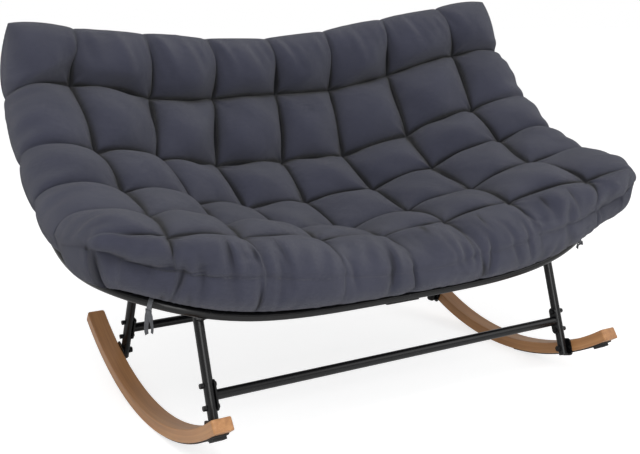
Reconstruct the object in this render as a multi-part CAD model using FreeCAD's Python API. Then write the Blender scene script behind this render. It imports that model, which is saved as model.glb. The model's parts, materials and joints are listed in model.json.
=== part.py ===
import FreeCAD
import Part
import math
import os
from FreeCAD import Rotation, Vector

# Double papasan rocking chair, in millimetres.
# The origin is on the floor, midway between the lines where the two rockers touch it.
# +X is to the right as seen from the front, +Y is towards the back, +Z is up.

# Rockers: bent wood bars, each a plain arc about a level axis
rocker_x = 520.0
rocker_width = 44.0
rocker_thickness = 28.0
rocker_radius = 695.0
rocker_half_angle = 35.2
rocker_edge = 2.5
rocker_corner = 6.0

# Rubber strip and stop under the front half of each rocker
strip_width = 34.0
strip_thickness = 3.0
strip_start_angle = -6.0
strip_end_angle = -33.3
stop_width = 30.0
stop_height = 9.0
stop_start_angle = -30.6
stop_end_angle = -32.4
stop_edge = 1.5

# Steel tubes
tube_diameter = 22.0
front_leg_wall = 4.0
rear_leg_wall = 1.2
rim_wall = 1.0
rib_diameter = 16.0
rib_wall = 1.0
tube_radius = tube_diameter / 2

# Legs: each is a straight tube beside the inner face of a rocker; y on the floor, and y per unit of z
foot_plate_thickness = 3.0
leg_x = rocker_x - rocker_width / 2 - foot_plate_thickness - tube_radius
front_leg_floor_y = -296.0
front_leg_slope = 0.333
rear_leg_floor_y = 304.0
rear_leg_slope = -0.456
leg_below_bolt = 15.0
plug_depth = 12.0
plug_cap = 3.0
plug_fit = 0.1

# Foot plates and what bolts them to the rockers
foot_plate_width = 38.0
foot_plate_height = 44.0
foot_plate_corner = 9.0
foot_screw_offset = 14.6
foot_screw_diameter = 4.0
foot_screw_length = 20.0
foot_screw_head = 7.0
foot_screw_head_height = 2.2
foot_bolt_diameter = 8.0
foot_bolt_reach = 24.0
foot_bolt_head = 13.0
foot_bolt_head_height = 5.3
washer_diameter = 16.0
washer_thickness = 1.6
insert_diameter = 12.0
insert_length = 26.0
hole_play = 0.1

# Crossbars between the left and right legs, welded to end plates
crossbar_z = 137.5
end_plate_length = 66.0
end_plate_width = 22.0
end_plate_corner = 10.0
end_plate_thickness = 4.0
end_plate_groove = 1.5
end_plate_bolt_offset = 23.0
crossbar_bolt_diameter = 6.0
crossbar_bolt_head = 10.0
crossbar_bolt_head_height = 4.0
crossbar_nut_height = 8.0

# Seat ring: a rounded oblong in a plane that leans back, bent out of that plane at its corners
seat_lean = 41.0
ring_half_width = 690.0
ring_half_length = 430.0
ring_middle = 425.0
ring_power = 4.1
ring_front_height = 369.0
ring_fall = 0.122
ring_front_corner_rise = 230.0
ring_rear_corner_rise = 60.0
ring_side_dip = 88.0
ring_runs = 21
ring_steps = 720

# The two halves of the ring meet at the middle of its front and back over sleeves
sleeve_half_length = 48.0
sleeve_fit = 0.1
sleeve_wall = 1.5
saddle_half_length = 44.0
saddle_thickness = 2.5
saddle_fit = 0.1
saddle_screw_offset = 30.0
saddle_screw_diameter = 5.0
saddle_screw_head = 9.0
saddle_screw_head_height = 2.6
saddle_screw_depth = 8.0

# Ribs from the front of the ring to its back: y and z of the bends between the two ends
centre_rib_bends = [(-198.0, 258.0), (-60.0, 272.0), (90.0, 282.0), (230.0, 342.0), (352.0, 465.0),
                    (436.0, 610.0), (470.0, 700.0)]
side_rib_bends = [(-206.0, 290.0), (-60.0, 330.0), (110.0, 385.0), (250.0, 480.0), (350.0, 600.0),
                  (415.0, 690.0)]

# Cushion: tuft columns across the chair and tuft rows round a bowl, with an edge cell beyond each
tuft_pitch = 184.0
tuft_columns = 7
cushion_half_width = 736.0
cushion_end_reach = 30.0
cushion_end_share = 0.86
bowl_y = -20.0
bowl_z = 790.0
bowl_radius = 430.0
row_angles = [-19.5, 3.7, 26.9, 46.5, 75.0]
top_angle = 93.7
side_turn = 2.2
side_lift = 18.0
front_y = -296.0
front_z = 334.0
front_corner_back = 20.0
front_corner_rise = 108.0
front_rise_power = 2.2
dish_depth = 165.0
dish_half_width = 700.0
dish_share = [0.9, 1.0, 1.0, 0.95, 0.5, 0.5]
top_corner_drop = 14.0
corner_start = 560.0
tuft_height = 16.0
crease_height = 40.0
crown_height = 72.0
full_cell = 150.0
edge_half_thickness = 38.0
edge_bulge = 24.0
under_middle = [38.0, 80.0, 84.0, 80.0, 60.0, 46.0, 38.0]
under_side = [38.0, 60.0, 76.0, 74.0, 56.0, 44.0, 34.0]
under_start = 420.0
under_pinch = 22.0
under_fill = 0.75
under_swell = 12.0
under_least = 10.0
side_draw = 0.6
wall_along = [10.0, 10.0, 9.5, 6.5, 3.8, 3.4, 3.4]
end_wall = 5.0
end_puff = 0.45

# Ties: fabric ribbons sewn to the cushion, round the ring and knotted below it
tie_width = 12.0
tie_thickness = 1.0
tie_fit = 0.3
tie_tail = 58.0
tie_tail_spread = 9.0
tie_tail_width = 9.6
tie_tail_thickness = 1.5
knot_size = (14.0, 9.0, 12.0)
front_tie_x = 590.0
top_tie_x = 300.0

X = Vector(1, 0, 0)
Y = Vector(0, 1, 0)
Z = Vector(0, 0, 1)
ORIGIN = Vector(0, 0, 0)
LEAN = math.radians(seat_lean)
UP_RING = Vector(0, math.cos(LEAN), math.sin(LEAN))
OUT_OF_RING = Vector(0, -math.sin(LEAN), math.cos(LEAN))
ARC_SHARE = 0.48
FOOT_ROUNDS = 30


def unit(vector):
    """The same direction with a length of one."""
    return vector * (1 / vector.Length)


def cylinder(start, direction, diameter, length):
    """A solid cylinder from a point along a direction."""
    return Part.makeCylinder(diameter / 2, length, start, direction)


def rounded_path(points):
    """A wire of straight runs joined by tangent arcs, each as large as its two runs allow."""
    edges = []
    start = points[0]
    for before, corner, after in zip(points, points[1:], points[2:]):
        back = unit(before - corner)
        ahead = unit(after - corner)
        reach = ARC_SHARE * min((before - corner).Length, (after - corner).Length)
        half_turn = (math.pi - back.getAngle(ahead)) / 2
        radius = reach / math.tan(half_turn)
        middle = corner + unit(back + ahead) * (radius / math.cos(half_turn) - radius)
        arc_start = corner + back * reach
        arc_end = corner + ahead * reach
        edges.append(Part.LineSegment(start, arc_start).toShape())
        edges.append(Part.Arc(arc_start, middle, arc_end).toShape())
        start = arc_end
    edges.append(Part.LineSegment(start, points[-1]).toShape())
    return Part.Wire(edges)


def bar(path, diameter):
    """A solid round bar along a path."""
    first = path.Edges[0]
    start = first.valueAt(first.FirstParameter)
    direction = first.tangentAt(first.FirstParameter)
    circle = Part.Wire(Part.Circle(start, direction, diameter / 2).toShape())
    return path.makePipeShell([circle], True, False)


def tube(path, diameter, wall):
    """A round tube along a path."""
    return bar(path, diameter).cut(bar(path, diameter - 2 * wall))


def mirrored(shape):
    """The shape's mirror image on the other side of the chair."""
    return shape.mirror(ORIGIN, X)


def save(name, shape):
    """Write one piece, or one group of equal pieces, to its own file."""
    shape.exportStep(os.path.join("parts", name + ".step"))


def save_pair(name, shape):
    """Write a right-hand piece and its left-hand twin; the name has a place for the side."""
    save(name.format("right"), shape)
    save(name.format("left"), mirrored(shape))


def ring_height(x, along):
    """How far the ring's centre line is out of its leaning plane."""
    from_middle = (along - ring_middle) / ring_half_length
    rise = ring_front_corner_rise if from_middle < 0 else ring_rear_corner_rise
    bend = rise * from_middle**2 - ring_side_dip
    fall = ring_fall * (along - ring_middle + ring_half_length)
    return ring_front_height - fall + (x / ring_half_width)**4 * bend


def ring_place(x, along):
    """A point of the ring's centre line from its place in the leaning plane."""
    return X * x + UP_RING * along + OUT_OF_RING * ring_height(x, along)


def ring_at(x, end):
    """The ring's centre line at a distance from the chair's middle: end is -1 at the front, 1 at the back."""
    share = (1 - abs(x / ring_half_width)**ring_power)**(1 / ring_power)
    return ring_place(x, ring_middle + end * ring_half_length * share)


def ring_points():
    """Evenly spaced points of the right half of the ring, from the front seam to the rear one."""
    fine = []
    for step in range(ring_steps + 1):
        angle = math.radians(-90 + 180 * step / ring_steps)
        cosine = max(math.cos(angle), 0.0)
        sine = math.sin(angle)
        x = ring_half_width * cosine**(2 / ring_power)
        along = ring_middle + math.copysign(ring_half_length * abs(sine)**(2 / ring_power), sine)
        fine.append(ring_place(x, along))
    lengths = [0.0]
    for a, b in zip(fine, fine[1:]):
        lengths.append(lengths[-1] + (b - a).Length)
    points = []
    index = 0
    for run in range(ring_runs + 1):
        wanted = lengths[-1] * run / ring_runs
        while index < len(fine) - 2 and lengths[index + 1] < wanted:
            index += 1
        share = (wanted - lengths[index]) / (lengths[index + 1] - lengths[index])
        points.append(fine[index] + (fine[index + 1] - fine[index]) * share)
    # the first and last runs are square to the seams
    points[0] = Vector(0, points[1].y, points[1].z)
    points[-1] = Vector(0, points[-2].y, points[-2].z)
    return points


def rib_path(x, bends):
    """A rib's centre line in the plane at x, from the ring's front to its back."""
    points = [ring_at(x, -1)]
    points += [Vector(x, y, z) for y, z in bends]
    points.append(ring_at(x, 1))
    return rounded_path(points)


def arc_band(inner_radius, outer_radius, first_angle, last_angle, x, width):
    """A bar bent about the rockers' axis, between two angles from its lowest point."""
    def at(radius, angle):
        turn = math.radians(angle)
        return Vector(x - width / 2, radius * math.sin(turn), rocker_radius - radius * math.cos(turn))
    middle = (first_angle + last_angle) / 2
    outer = Part.Arc(*(at(outer_radius, a) for a in (first_angle, middle, last_angle))).toShape()
    inner = Part.Arc(*(at(inner_radius, a) for a in (last_angle, middle, first_angle))).toShape()
    end = Part.LineSegment(at(outer_radius, last_angle), at(inner_radius, last_angle)).toShape()
    start = Part.LineSegment(at(inner_radius, first_angle), at(outer_radius, first_angle)).toShape()
    return Part.Face(Part.Wire([outer, end, inner, start])).extrude(X * width)


class Leg:
    """One right-hand leg: its line, its wall, and the frame in which its foot and end plates are drawn."""

    def __init__(self, floor_y, slope, wall):
        self.slope = slope
        self.wall = wall
        self.floor = Vector(leg_x, floor_y, 0)
        self.direction = unit(Vector(0, slope, 1))
        self.across = X.cross(self.direction)
        middle_radius = rocker_radius - rocker_thickness / 2
        z = 0.0
        for _ in range(FOOT_ROUNDS):
            z = rocker_radius - math.sqrt(middle_radius**2 - self.at(z).y**2)
        self.bolt = self.at(z)
        self.bar_end = self.at(crossbar_z)

    def at(self, z):
        """The leg's centre line at a height."""
        return self.floor + Vector(0, self.slope * z, z)

    def plate(self, centre_x, thickness, middle, width, height, corner):
        """A rounded plate square to X whose sides follow the leg."""
        box = Part.makeBox(thickness, width, height, Vector(-thickness / 2, -width / 2, -height / 2))
        rims = [e for e in box.Edges if abs(e.tangentAt(e.FirstParameter).x) > 0.9]
        box = box.makeFillet(corner, rims)
        box.Placement = FreeCAD.Placement(Vector(centre_x, middle.y, middle.z), Rotation(Z, self.direction))
        return box


def leg_tube(leg, rib_bar):
    """A leg, coped round the rib at its top, with holes for the foot bolt and the crossbar bolts."""
    start = leg.bolt - leg.direction * leg_below_bolt
    top = leg.at(side_rib_top(leg))
    length = (top - start).Length
    shape = cylinder(start, leg.direction, tube_diameter, length)
    shape = shape.cut(cylinder(start, leg.direction, tube_diameter - 2 * leg.wall, length))
    shape = shape.cut(rib_bar)
    shape = shape.cut(cylinder(leg.bolt - X * tube_diameter, X, foot_bolt_diameter + hole_play,
                               2 * tube_diameter))
    for place in crossbar_bolt_places(leg):
        shape = shape.cut(cylinder(place - X * tube_diameter, X, crossbar_bolt_diameter + hole_play,
                                   2 * tube_diameter))
    return max(shape.Solids, key=lambda solid: solid.Volume)


def side_rib_top(leg):
    """The height at which a leg's line meets the middle of the side rib."""
    ends = [ring_at(leg_x, -1)] + [Vector(leg_x, y, z) for y, z in side_rib_bends]
    for a, b in zip(ends, ends[1:]):
        run = b - a
        share = (leg.floor.y + leg.slope * a.z - a.y) / (run.y - leg.slope * run.z)
        if 0 <= share <= 1:
            return a.z + share * run.z
    raise ValueError("the leg misses the rib")


def crossbar_bolt_places(leg):
    """The two points of a leg's centre line that the crossbar's bolts go through."""
    return [leg.bar_end + leg.direction * (side * end_plate_bolt_offset) for side in (-1, 1)]


def leg_plug(leg):
    """The plastic plug in the leg's lower end."""
    start = leg.bolt - leg.direction * leg_below_bolt
    cap = cylinder(start - leg.direction * plug_cap, leg.direction, tube_diameter, plug_cap)
    stem_diameter = tube_diameter - 2 * leg.wall - 2 * plug_fit
    stem_length = min(plug_depth, leg_below_bolt - foot_bolt_diameter)
    return cap.fuse(cylinder(start, leg.direction, stem_diameter, stem_length)).removeSplitter()


def foot_screw_places(leg):
    """Where the two wood screws of a foot plate go, either side of the leg."""
    face = rocker_x - rocker_width / 2 - foot_plate_thickness
    places = []
    for side in (-1, 1):
        place = leg.bolt + leg.across * (side * foot_screw_offset)
        places.append(Vector(face, place.y, place.z))
    return places


def foot_plate(leg):
    """The plate between a leg's foot and the inner face of the rocker."""
    middle_x = rocker_x - rocker_width / 2 - foot_plate_thickness / 2
    shape = leg.plate(middle_x, foot_plate_thickness, leg.bolt, foot_plate_width, foot_plate_height,
                      foot_plate_corner)
    shape = shape.cut(cylinder(leg.bolt, X, foot_bolt_diameter + hole_play, rocker_width))
    for place in foot_screw_places(leg):
        shape = shape.cut(cylinder(place, X, foot_screw_diameter + hole_play, rocker_width))
    return shape


def foot_bolt(leg):
    """The bolt through a leg's foot into the rocker, with its washer and the insert that it screws into."""
    seat = leg.bolt - X * tube_radius
    head_start = seat - X * (washer_thickness + foot_bolt_head_height)
    wood = Vector(rocker_x - rocker_width / 2, leg.bolt.y, leg.bolt.z)
    head = hexagon(head_start, foot_bolt_head, foot_bolt_head_height)
    length = foot_bolt_head_height + washer_thickness + wood.x - seat.x + foot_bolt_reach
    bolt = head.fuse(cylinder(head_start, X, foot_bolt_diameter, length)).removeSplitter()
    washer = cylinder(seat - X * washer_thickness, X, washer_diameter, washer_thickness)
    washer = washer.cut(cylinder(seat - X * washer_thickness, X, foot_bolt_diameter + hole_play,
                                 washer_thickness))
    insert = cylinder(wood, X, insert_diameter, insert_length)
    insert = insert.cut(cylinder(wood, X, foot_bolt_diameter + hole_play, foot_bolt_reach + hole_play))
    return bolt, washer, insert


def hexagon(start, across_flats, height):
    """A hexagonal head or nut along +X."""
    radius = across_flats / math.sqrt(3)
    corners = []
    for side in range(7):
        turn = math.radians(60 * side)
        corners.append(start + Vector(0, radius * math.cos(turn), radius * math.sin(turn)))
    return Part.Face(Part.makePolygon(corners)).extrude(X * height)


def foot_screw(place):
    """A round-headed wood screw through a foot plate."""
    head = cylinder(place - X * foot_screw_head_height, X, foot_screw_head, foot_screw_head_height)
    return head.fuse(cylinder(place, X, foot_screw_diameter, foot_screw_length)).removeSplitter()


def end_plate(leg):
    """The plate on a crossbar's end, grooved to sit on the leg, with two bolt holes."""
    outer_x = leg_x - tube_radius + end_plate_groove
    shape = leg.plate(outer_x - end_plate_thickness / 2, end_plate_thickness, leg.bar_end,
                      end_plate_width, end_plate_length, end_plate_corner)
    shape = shape.cut(cylinder(leg.at(0), leg.direction, tube_diameter, 2 * crossbar_z))
    for place in crossbar_bolt_places(leg):
        shape = shape.cut(cylinder(place - X * tube_diameter, X, crossbar_bolt_diameter + hole_play,
                                   tube_diameter))
    return shape


def crossbar(leg):
    """The tube between the end plates of the left and right legs."""
    half = leg_x - tube_radius + end_plate_groove - end_plate_thickness
    start = Vector(-half, leg.bar_end.y, leg.bar_end.z)
    shape = cylinder(start, X, tube_diameter, 2 * half)
    return shape.cut(cylinder(start, X, tube_diameter - 2 * leg.wall, 2 * half))


def crossbar_fastenings(leg):
    """The bolts and cap nuts of one crossbar end."""
    inner_x = leg_x - tube_radius + end_plate_groove - end_plate_thickness
    bolts = []
    nuts = []
    for place in crossbar_bolt_places(leg):
        seat = Vector(inner_x, place.y, place.z)
        head_start = seat - X * crossbar_bolt_head_height
        shank = place.x + tube_radius - head_start.x + crossbar_nut_height / 2
        bolt = hexagon(head_start, crossbar_bolt_head, crossbar_bolt_head_height)
        bolts.append(bolt.fuse(cylinder(head_start, X, crossbar_bolt_diameter, shank)).removeSplitter())
        nut_start = place + X * tube_radius
        nut = hexagon(nut_start, crossbar_bolt_head, crossbar_nut_height)
        nuts.append(nut.cut(cylinder(nut_start, X, crossbar_bolt_diameter + hole_play,
                                     crossbar_nut_height / 2 + hole_play)))
    return bolts, nuts


def rocker(legs):
    """The right-hand rocker, with eased edges and the holes for its fastenings."""
    shape = arc_band(rocker_radius - rocker_thickness, rocker_radius, -rocker_half_angle, rocker_half_angle,
                     rocker_x, rocker_width)
    straight = [e for e in shape.Edges if not isinstance(e.Curve, Part.Circle)]
    ends = [e for e in straight if abs(e.tangentAt(e.FirstParameter).x) < 0.1]
    shape = shape.makeFillet(rocker_corner, ends)
    sides = [e for e in shape.Edges if isinstance(e.Curve, Part.Circle) and e.Length > rocker_radius / 2]
    shape = shape.makeFillet(rocker_edge, sides)
    for leg in legs:
        wood = Vector(rocker_x - rocker_width / 2 - rocker_edge, leg.bolt.y, leg.bolt.z)
        shape = shape.cut(cylinder(wood, X, insert_diameter, insert_length + rocker_edge))
        for place in foot_screw_places(leg):
            shape = shape.cut(cylinder(place, X, foot_screw_diameter, foot_screw_length))
    return shape


def rocker_strip():
    """The rubber strip under the front half of the right-hand rocker."""
    return arc_band(rocker_radius, rocker_radius + strip_thickness, strip_end_angle, strip_start_angle,
                    rocker_x, strip_width)


def rocker_stop():
    """The rubber block near the front end of the strip, which ends the forward swing."""
    inner = rocker_radius + strip_thickness
    block = arc_band(inner, rocker_radius + stop_height, stop_end_angle, stop_start_angle, rocker_x,
                     stop_width)
    edges = [e for e in block.Edges if abs(e.tangentAt(e.FirstParameter).x) > 0.9]
    lowest = sorted(edges, key=lambda e: e.CenterOfMass.z)[:1]
    return block.makeFillet(stop_edge, lowest)


def seam_frame(points, end):
    """The seam's place on the ring and the direction in which the centre rib leaves it."""
    seam = points[0] if end < 0 else points[-1]
    bend = centre_rib_bends[0] if end < 0 else centre_rib_bends[-1]
    return seam, unit(Vector(0, bend[0] - seam.y, bend[1] - seam.z))


def rim_sleeve(seam):
    """The sleeve inside the ring that joins its halves."""
    outer = tube_diameter - 2 * rim_wall - 2 * sleeve_fit
    start = seam - X * sleeve_half_length
    shape = cylinder(start, X, outer, 2 * sleeve_half_length)
    return shape.cut(cylinder(start, X, outer - 2 * sleeve_wall, 2 * sleeve_half_length))


def rib_saddle(seam, direction):
    """The half shell on the end of the centre rib that is screwed to both halves of the ring."""
    inner = tube_diameter + 2 * saddle_fit
    outer = inner + 2 * saddle_thickness
    start = seam - X * saddle_half_length
    shape = cylinder(start, X, outer, 2 * saddle_half_length)
    shape = shape.cut(cylinder(start, X, inner, 2 * saddle_half_length))
    across = X.cross(direction)
    half = Part.makeBox(2 * saddle_half_length, outer, outer, Vector(-saddle_half_length, -outer / 2, 0))
    half.Placement = FreeCAD.Placement(seam, Rotation(X, across * -1, direction, "ZXY"))
    return shape.common(half)


def saddle_screw_places(seam):
    """The points on the ring's centre line where the saddle's screws aim."""
    return [seam + X * (side * saddle_screw_offset) for side in (-1, 1)]


def saddle_screw(place, direction):
    """A screw through the saddle, the ring and the sleeve."""
    seat = place + direction * (tube_radius + saddle_fit + saddle_thickness)
    head = cylinder(seat, direction, saddle_screw_head, saddle_screw_head_height)
    length = saddle_screw_depth + saddle_thickness
    shank = cylinder(seat - direction * length, direction, saddle_screw_diameter, length)
    return head.fuse(shank).removeSplitter()


def saddle_screw_hole(place, direction):
    """The clearance hole for a saddle screw."""
    return cylinder(place, direction, saddle_screw_diameter + hole_play, tube_diameter)


def smooth_step(value):
    """A smooth rise from 0 to 1."""
    share = min(max(value, 0.0), 1.0)
    return share * share * (3 - 2 * share)


def tuft_line(x):
    """The cushion's middle line in the plane at x: its front edge, its tuft rows and its top edge."""
    dish = dish_depth * (1 - math.cos(math.pi * min(abs(x), dish_half_width) / dish_half_width)) / 2
    corner = smooth_step((abs(x) - corner_start) / (cushion_half_width - corner_start))
    out = abs(x) / cushion_half_width
    front_height = front_z + front_corner_rise * out**front_rise_power
    line = [Vector(x, front_y + front_corner_back * out**4, front_height)]
    aside = x / dish_half_width
    for angle, share in zip(row_angles + [top_angle], dish_share):
        turn = math.radians(angle + side_turn * aside)
        place = Vector(x, bowl_y + bowl_radius * math.sin(turn), bowl_z - bowl_radius * math.cos(turn))
        line.append(place + OUT_OF_RING * (dish * share + side_lift * aside))
    line[-1] += unit(line[-2] - line[-1]) * (top_corner_drop * corner)
    return line


def cushion_section(x, puff, fullness, walls):
    """A closed outline of the cushion in the plane at x, set in by the wall's thickness along its line.

    A puff of 0 is a plane through a column of tufts, and a puff of 1 is midway between two columns.
    """
    line = tuft_line(x)
    tangents = [unit(b - a) for a, b in zip(line, line[1:])]
    normals = [X.cross(t) for t in tangents]
    at_points = [normals[0]] + [unit(a + b) for a, b in zip(normals, normals[1:])] + [normals[-1]]
    crease = (tuft_height + (crease_height - tuft_height) * puff) * fullness
    rise = ((1 - puff) * (crease_height - tuft_height) + puff * (crown_height - crease_height)) * fullness
    shares = [min((b - a).Length / full_cell, 1.0) for a, b in zip(line, line[1:])]
    side = smooth_step((abs(x) - under_start) / (cushion_half_width - under_start))
    pinch = under_pinch * (1 - under_fill * puff)
    under = [m + (s - m) * side for m, s in zip(under_middle, under_side)]
    edge = edge_half_thickness * fullness
    last = len(line) - 1
    front = line[0] + tangents[0] * walls[0]
    top = line[last] - tangents[-1] * walls[last]
    upper = [front + at_points[0] * (edge - walls[0])]
    lower = [front - at_points[0] * (edge - walls[0])]
    for i in range(1, last):
        depth = max(under[i] - pinch, under_least) * fullness
        upper.append(line[i] + at_points[i] * (crease - walls[i]))
        lower.append(line[i] - at_points[i] * (depth - walls[i]))
    upper.append(top + at_points[last] * (edge - walls[last]))
    lower.append(top - at_points[last] * (edge - walls[last]))
    edges = []
    for i in range(last):
        middle = (upper[i] + upper[i + 1]) * 0.5 + normals[i] * (rise * shares[i])
        edges.append(Part.Arc(upper[i], middle, upper[i + 1]).toShape())
    bulge = edge_bulge * fullness
    edges.append(Part.Arc(upper[last], top + tangents[-1] * bulge, lower[last]).toShape())
    for i in reversed(range(last)):
        middle = (lower[i] + lower[i + 1]) * 0.5 - normals[i] * (under_swell * shares[i] * fullness)
        edges.append(Part.Arc(lower[i + 1], middle, lower[i]).toShape())
    edges.append(Part.Arc(lower[0], front - tangents[0] * bulge, upper[0]).toShape())
    return Part.Wire(edges)


def cushion_skin(walls, end_inset):
    """The solid inside the cushion's outer face, or inside that face set in by the wall's thickness."""
    reach = (tuft_columns // 2 + 1) * 2
    places = []
    for half_cell in range(-reach + 1, reach):
        places.append((half_cell * tuft_pitch / 2, half_cell % 2, 1.0))
    end = cushion_half_width - end_inset
    for side in (-1, 1):
        places.append((side * (end - cushion_end_reach), end_puff, cushion_end_share))
        places.append((side * end, end_puff, side_draw))
    sections = [cushion_section(x, puff, fullness, walls) for x, puff, fullness in sorted(places)]
    return Part.makeLoft(sections, True, False)


def cushion():
    """The tufted cushion: a closed shell, thickest in the seat, for its cover and light filling."""
    outer_shell = cushion_skin([0.0] * len(wall_along), 0.0).Shells[0]
    inner_shell = cushion_skin(wall_along, end_wall).Shells[0]
    inner_shell.reverse()
    return Part.makeSolid(Part.makeCompound([outer_shell, inner_shell]))


def tie(ring, x, end, side):
    """A ribbon round the ring, knotted on the given side of it, with two hanging tails."""
    aim = ring_at(x, end)
    run = min(ring.Edges, key=lambda e: e.distToShape(Part.Vertex(aim))[0])
    nearest = run.Curve.parameter(aim)
    place = run.valueAt(nearest)
    direction = run.tangentAt(nearest)
    out = unit(side - direction * side.dot(direction))
    inner = tube_diameter + 2 * tie_fit
    start = place - direction * (tie_width / 2)
    shape = cylinder(start, direction, inner + 2 * tie_thickness, tie_width)
    shape = shape.cut(cylinder(start, direction, inner, tie_width))
    knot_centre = place + out * (inner / 2 + knot_size[1] / 2)
    knot = Part.makeBox(*knot_size, Vector(-knot_size[0] / 2, -knot_size[1] / 2, -knot_size[2] / 2))
    knot.Placement = FreeCAD.Placement(knot_centre, Rotation(direction, out, out.cross(direction), "XYZ"))
    knot = knot.cut(cylinder(place - direction * tube_diameter, direction, inner, 2 * tube_diameter))
    shape = shape.fuse(knot)
    for turn in (-1, 1):
        tail = Part.makeBox(tie_tail_width, tie_tail_thickness, tie_tail,
                            Vector(-tie_tail_width / 2, -tie_tail_thickness / 2, -tie_tail))
        lean = Vector(turn * tie_tail_spread / tie_tail, 0, 1)
        tail.Placement = FreeCAD.Placement(knot_centre, Rotation(Z, lean))
        shape = shape.fuse(tail)
    return shape.removeSplitter()


def main():
    os.makedirs("parts", exist_ok=True)
    points = ring_points()
    ring = rounded_path(points)
    ring_bar = bar(ring, tube_diameter)
    rim = tube(ring, tube_diameter, rim_wall)

    side_path = rib_path(leg_x, side_rib_bends)
    side_bar = bar(side_path, rib_diameter)
    save_pair("{}_rib", tube(side_path, rib_diameter, rib_wall).cut(ring_bar))

    centre_rib = tube(rib_path(0.0, centre_rib_bends), rib_diameter, rib_wall)
    screws = []
    for end, name in ((-1, "front"), (1, "rear")):
        seam, direction = seam_frame(points, end)
        sleeve = rim_sleeve(seam)
        saddle = rib_saddle(seam, direction)
        reach = tube_diameter + 2 * saddle_fit + 2 * saddle_thickness
        centre_rib = centre_rib.cut(cylinder(seam - X * tube_diameter, X, reach, 2 * tube_diameter))
        for place in saddle_screw_places(seam):
            hole = saddle_screw_hole(place, direction)
            sleeve = sleeve.cut(hole)
            saddle = saddle.cut(hole)
            rim = rim.cut(hole)
            screws.append(saddle_screw(place, direction))
        save(name + "_rim_sleeve", sleeve)
        save(name + "_rib_saddle", saddle)
    save("centre_rib", centre_rib)
    save("saddle_screws", Part.makeCompound(screws))
    save_pair("{}_rim_tube", rim)

    legs = {"front": Leg(front_leg_floor_y, front_leg_slope, front_leg_wall),
            "rear": Leg(rear_leg_floor_y, rear_leg_slope, rear_leg_wall)}
    groups = {"foot_bolts": [], "foot_washers": [], "rocker_inserts": [], "foot_screws": [],
              "crossbar_bolts": [], "crossbar_cap_nuts": []}
    for name, leg in legs.items():
        save_pair(name + "_{}_leg", leg_tube(leg, side_bar))
        save_pair(name + "_{}_leg_plug", leg_plug(leg))
        save_pair(name + "_{}_foot_plate", foot_plate(leg))
        save_pair(name + "_{}_end_plate", end_plate(leg))
        save(name + "_crossbar", crossbar(leg))
        bolt, washer, insert = foot_bolt(leg)
        groups["foot_bolts"].append(bolt)
        groups["foot_washers"].append(washer)
        groups["rocker_inserts"].append(insert)
        groups["foot_screws"] += [foot_screw(place) for place in foot_screw_places(leg)]
        bolts, nuts = crossbar_fastenings(leg)
        groups["crossbar_bolts"] += bolts
        groups["crossbar_cap_nuts"] += nuts
    for name, shapes in groups.items():
        save(name, Part.makeCompound(shapes + [mirrored(shape) for shape in shapes]))

    save_pair("{}_rocker", rocker(legs.values()))
    save_pair("{}_rocker_strip", rocker_strip())
    save_pair("{}_rocker_stop", rocker_stop())

    save("cushion", cushion())
    save_pair("front_{}_tie", tie(ring, front_tie_x, -1, Z * -1))
    save_pair("top_{}_tie", tie(ring, top_tie_x, 1, Y))


if __name__ == "__main__":
    main()
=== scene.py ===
# %% [markdown]
# # A double papasan rocking chair
# The chair is a wide bowl of tufted cushion in a ring of bent black tube, on legs that are bolted to two
# rockers of bent wood. The frame comes from the CAD model as it is. This script lights it, gives every
# surface a finish, and makes the soft pieces: the cushion and the ribbons that tie it to the ring.

import json

import bpy
import numpy as np
from mathutils import Matrix, Vector
from mathutils.bvhtree import BVHTree


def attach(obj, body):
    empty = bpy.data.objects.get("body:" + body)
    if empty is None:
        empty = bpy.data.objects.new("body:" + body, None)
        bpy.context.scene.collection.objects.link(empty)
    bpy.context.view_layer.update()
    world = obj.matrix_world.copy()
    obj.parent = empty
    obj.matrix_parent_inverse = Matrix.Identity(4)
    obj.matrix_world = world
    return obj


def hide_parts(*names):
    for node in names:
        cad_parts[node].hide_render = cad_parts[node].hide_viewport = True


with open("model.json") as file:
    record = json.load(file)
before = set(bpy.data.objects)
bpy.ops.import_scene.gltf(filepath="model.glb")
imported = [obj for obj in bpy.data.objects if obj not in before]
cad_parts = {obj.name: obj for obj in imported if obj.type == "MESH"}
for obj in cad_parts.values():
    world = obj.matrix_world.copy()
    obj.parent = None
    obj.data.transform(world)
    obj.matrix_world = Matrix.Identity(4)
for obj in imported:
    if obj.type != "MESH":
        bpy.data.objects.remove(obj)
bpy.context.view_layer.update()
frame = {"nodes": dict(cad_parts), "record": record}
MM = 0.001
scene = bpy.context.scene

# %% [markdown]
# ## The camera
# A product photo is taken from a little above the seat and from one side, so that the seat, the back and
# one rocker all show. The camera is set from its place, its turn about the vertical and its tilt, and a
# small shift, which slides the picture without turning the view.

# %% Camera
camera_place = np.array([-1231.9, -1954.7, 919.0]) * MM
camera_turn = np.radians(30.35)
camera_tilt = np.radians(12.21)
view_ahead = np.array([np.sin(camera_turn) * np.cos(camera_tilt), np.cos(camera_turn) * np.cos(camera_tilt),
                       -np.sin(camera_tilt)])
view_right = np.array([np.cos(camera_turn), -np.sin(camera_turn), 0.0])
view_up = np.cross(view_right, view_ahead)

camera = bpy.data.objects.new("camera", bpy.data.cameras.new("camera"))
camera.data.lens = 53.98
camera.data.sensor_width = 36.0
camera.data.shift_x = 0.0081
camera.data.shift_y = -0.0192
camera.data.clip_end = 200.0
pose = np.eye(4)
pose[:3, :3] = np.stack([view_right, view_up, -view_ahead], axis=1)
pose[:3, 3] = camera_place
camera.matrix_world = Matrix(pose.tolist())
scene.collection.objects.link(camera)
scene.camera = camera
print("camera: lens", camera.data.lens, "mm")

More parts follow.
